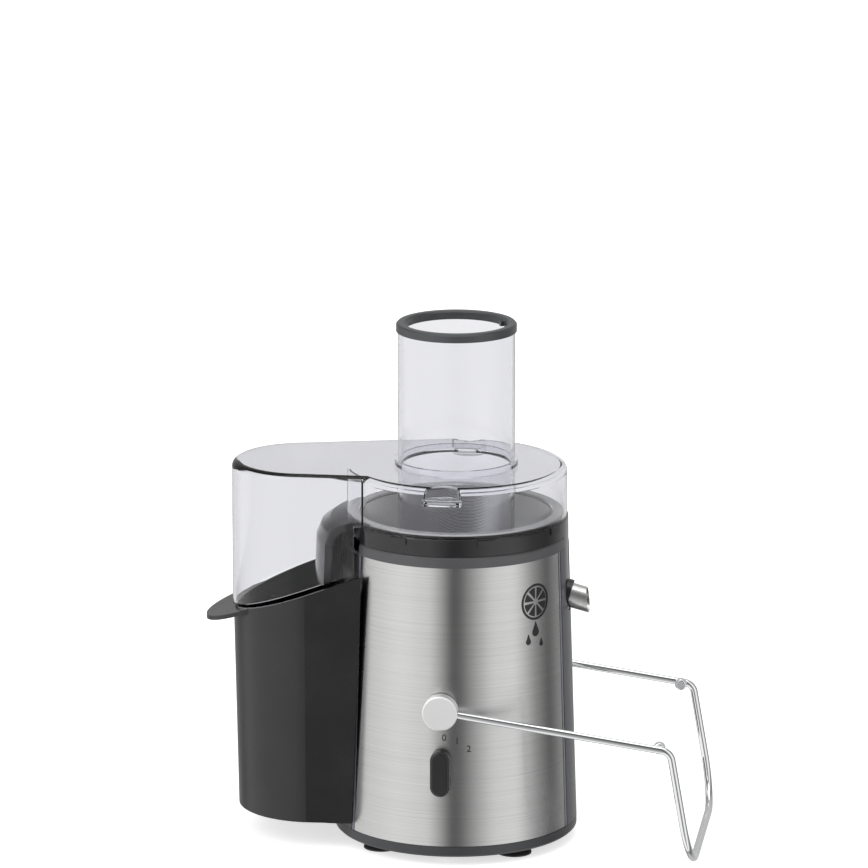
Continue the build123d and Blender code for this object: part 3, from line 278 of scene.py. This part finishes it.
def wrap_print(flat, name, u, z):
    """Turns a flat filled curve into a thin film of ink on the drum, with a back and sides."""
    bpy.context.collection.objects.link(flat)
    bpy.context.view_layer.update()
    mesh = bpy.data.meshes.new_from_object(flat)
    bpy.data.objects.remove(flat)
    shape = bmesh.new()
    shape.from_mesh(mesh)
    bmesh.ops.triangulate(shape, faces=shape.faces[:])
    for _ in range(2):
        long_edges = [edge for edge in shape.edges if edge.calc_length() > INK_EDGE]
        bmesh.ops.subdivide_edges(shape, edges=long_edges, cuts=1)
        bmesh.ops.triangulate(shape, faces=shape.faces[:])
    sheet = shape.verts[:]
    skin = bmesh.ops.extrude_face_region(shape, geom=shape.faces[:])
    raised = [item for item in skin["geom"] if isinstance(item, bmesh.types.BMVert)]
    for vert in sheet:
        vert.co = on_drum(u + vert.co.x, z + vert.co.y, INK_LIFT)
    for vert in raised:
        vert.co = on_drum(u + vert.co.x, z + vert.co.y, INK_LIFT + INK_T)
    bmesh.ops.recalc_face_normals(shape, faces=shape.faces[:])
    shape.to_mesh(mesh)
    shape.free()
    mesh.materials.clear()
    mesh.materials.append(ink)
    piece = bpy.data.objects.new(name, mesh)
    bpy.context.collection.objects.link(piece)
    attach(piece, "base")


def arc(cx, cy, radius, start, end, count):
    """Points along an arc, its angles in degrees."""
    steps = [math.radians(start + (end - start) * k / (count - 1)) for k in range(count)]
    return [(cx + radius * math.cos(a), cy + radius * math.sin(a)) for a in steps]


def drop(cx, cy, radius, length):
    """A falling drop: round below, pointed above."""
    side = radius * 0.45
    shoulder = cy + radius * 1.3
    point = [(cx + side, shoulder), (cx, cy + length), (cx - side, shoulder)]
    return arc(cx, cy, radius, -200, 20, 22) + point


def citrus_slice():
    """Outlines of a plain citrus slice: a ring of peel round its wedges."""
    outlines = [arc(0, 0, SLICE_R, 0, 355, 72), arc(0, 0, SLICE_R - PEEL, 0, 355, 72)]
    for wedge in range(WEDGES):
        middle = 360 / WEDGES * wedge + 180 / WEDGES
        heart = arc(0, 0, HEART_R, middle, middle + 1, 2)[:1]
        rind = arc(0, 0, SLICE_R - PEEL - PITH, middle - WEDGE_HALF, middle + WEDGE_HALF, 12)
        outlines.append(heart + rind)
    return outlines


printed("printed_slice", citrus_slice(), SLICE_U, SLICE_Z)
printed("printed_drops", [drop(*place) for place in DROPS], SLICE_U, SLICE_Z)
for digit, u, up in DIGITS:
    printed_digit("dial_" + digit, digit, u, knob_z + up)

# ---------------------------------------------------------------- camera
AZIMUTH = math.radians(7.5)
ELEVATION = math.radians(13.5)
PICTURE = 602.78 * MM         # width of the view at the object
LENS = 250.0
SENSOR = 36.0
FRAME_RIGHT = -15.3 * MM      # the object stands right of the frame's middle, as photographed
FRAME_UP = 274.7 * MM         # and the frame leaves room above for the lifted lid


def place_camera():
    """Long lens at the photograph's viewing angle."""
    away = Vector((math.sin(AZIMUTH) * math.cos(ELEVATION), -math.cos(AZIMUTH) * math.cos(ELEVATION),
                   math.sin(ELEVATION)))
    right = Vector((math.cos(AZIMUTH), math.sin(AZIMUTH), 0))
    up = right.cross(-away)
    data = bpy.data.cameras.new("camera")
    data.lens = LENS
    data.sensor_width = SENSOR
    data.clip_end = 50.0
    camera = bpy.data.objects.new("camera", data)
    camera.location = right * FRAME_RIGHT + up * FRAME_UP + away * PICTURE * LENS / SENSOR
    camera.rotation_euler = away.to_track_quat("Z", "Y").to_euler()
    bpy.context.collection.objects.link(camera)
    bpy.context.scene.camera = camera


place_camera()

# ---------------------------------------------------------------- studio
# Brightness of the studio by its direction, in degrees from the front (-Y) toward the spout (+X)
SOFT_BOXES = ((-180, 0.60), (-125, 0.30), (-108, 0.90), (-52, 1.05), (-20, 0.98), (-6, 0.46), (3, 0.08),
              (12, 0.17), (44, 0.98), (68, 1.10), (92, 0.42), (112, 0.12), (140, 0.45), (180, 0.60))
# Brightness seen through clear plastic by the direction's height: pale when level or below, grey overhead
THROUGH_CLEAR = ((-1.0, 0.90), (0.05, 0.93), (0.30, 0.35), (1.0, 0.20))
FLOOR_GLOW = 0.62
FLOOR_SPAN = 14.0
FLOOR_Z = -0.2 * MM
LAMP_AIM = Vector((0, 0, 0.18))
LAMPS = (("key_left", (-1.5, -1.2, 1.3), 1.2, 1.8, 9), ("top", (0.1, 0.1, 2.0), 1.6, 1.6, 9))


def area_light(name, centre, width, height, power):
    """Soft lamp that faces the object."""
    data = bpy.data.lights.new(name, "AREA")
    data.shape = "RECTANGLE"
    data.size = width
    data.size_y = height
    data.energy = power
    lamp = bpy.data.objects.new(name, data)
    lamp.location = centre
    lamp.rotation_euler = (LAMP_AIM - Vector(centre)).to_track_quat("-Z", "Y").to_euler()
    bpy.context.collection.objects.link(lamp)


def ray_kind(tree, kind):
    """1 for rays of this kind, 0 for the others."""
    return tree.nodes.new("ShaderNodeLightPath").outputs[kind]


def ramp_of(tree, value, low, high, stops):
    """Grey ramp over low..high; each stop is (value, brightness)."""
    scale = tree.nodes.new("ShaderNodeMapRange")
    scale.inputs["From Min"].default_value = low
    scale.inputs["From Max"].default_value = high
    tree.links.new(value, scale.inputs["Value"])
    ramp = tree.nodes.new("ShaderNodeValToRGB")
    for spot, (at, level) in enumerate(stops):
        place = (at - low) / (high - low)
        stop = ramp.color_ramp.elements[spot] if spot < 2 else ramp.color_ramp.elements.new(place)
        stop.position = place
        stop.color = (level, level, level, 1)
    tree.links.new(scale.outputs["Result"], ramp.inputs["Fac"])
    return ramp.outputs["Color"]


def studio_world():
    """White to the eye, with soft boxes and dark gaps round the object in its reflections."""
    world = bpy.data.worlds.new("world")
    world.use_nodes = True
    tree = world.node_tree
    place = tree.nodes.new("ShaderNodeTexCoord")
    split = tree.nodes.new("ShaderNodeSeparateXYZ")
    tree.links.new(place.outputs["Generated"], split.inputs["Vector"])
    front = tree.nodes.new("ShaderNodeMath")
    front.operation = "MULTIPLY"
    front.inputs[1].default_value = -1.0
    tree.links.new(split.outputs["Y"], front.inputs[0])
    turn = tree.nodes.new("ShaderNodeMath")
    turn.operation = "ARCTAN2"
    tree.links.new(split.outputs["X"], turn.inputs[0])
    tree.links.new(front.outputs["Value"], turn.inputs[1])
    round_about = ramp_of(tree, turn.outputs["Value"], -math.pi, math.pi, [
        (math.radians(angle), level) for angle, level in SOFT_BOXES])
    through = ramp_of(tree, split.outputs["Z"], -1.0, 1.0, THROUGH_CLEAR)
    choose = tree.nodes.new("ShaderNodeMixRGB")
    tree.links.new(ray_kind(tree, "Is Transmission Ray"), choose.inputs["Fac"])
    tree.links.new(round_about, choose.inputs["Color1"])
    tree.links.new(through, choose.inputs["Color2"])
    seen = tree.nodes.new("ShaderNodeMixRGB")
    seen.inputs["Color2"].default_value = (1, 1, 1, 1)
    tree.links.new(ray_kind(tree, "Is Camera Ray"), seen.inputs["Fac"])
    tree.links.new(choose.outputs["Color"], seen.inputs["Color1"])
    tree.links.new(seen.outputs["Color"], tree.nodes["Background"].inputs["Color"])
    return world


def floor_paint():
    """Pale floor that the steel doesn't mirror."""
    mat, tree, shader = new_material("studio_floor")
    shader.inputs["Base Color"].default_value = (0.93, 0.93, 0.93, 1)
    shader.inputs["Roughness"].default_value = 0.9
    shader.inputs["Specular IOR Level"].default_value = 0.1
    shader.inputs["Emission Color"].default_value = (1, 1, 1, 1)
    shader.inputs["Emission Strength"].default_value = FLOOR_GLOW
    clear = tree.nodes.new("ShaderNodeBsdfTransparent")
    mix = tree.nodes.new("ShaderNodeMixShader")
    tree.links.new(ray_kind(tree, "Is Glossy Ray"), mix.inputs["Fac"])
    tree.links.new(shader.outputs["BSDF"], mix.inputs[1])
    tree.links.new(clear.outputs["BSDF"], mix.inputs[2])
    tree.links.new(mix.outputs["Shader"], tree.nodes["Material Output"].inputs["Surface"])
    return mat


def lay_floor():
    """Wide flat floor just under the feet."""
    half = FLOOR_SPAN / 2
    mesh = bpy.data.meshes.new("floor")
    corners = [(-half, -half, 0), (half, -half, 0), (half, half, 0), (-half, half, 0)]
    mesh.from_pydata(corners, [], [(0, 1, 2, 3)])
    mesh.materials.append(floor_paint())
    floor = bpy.data.objects.new("floor", mesh)
    floor.location.z = FLOOR_Z
    bpy.context.collection.objects.link(floor)


lay_floor()
bpy.context.scene.world = studio_world()
for lamp in LAMPS:
    area_light(*lamp)

bpy.context.scene.view_settings.view_transform = "Standard"
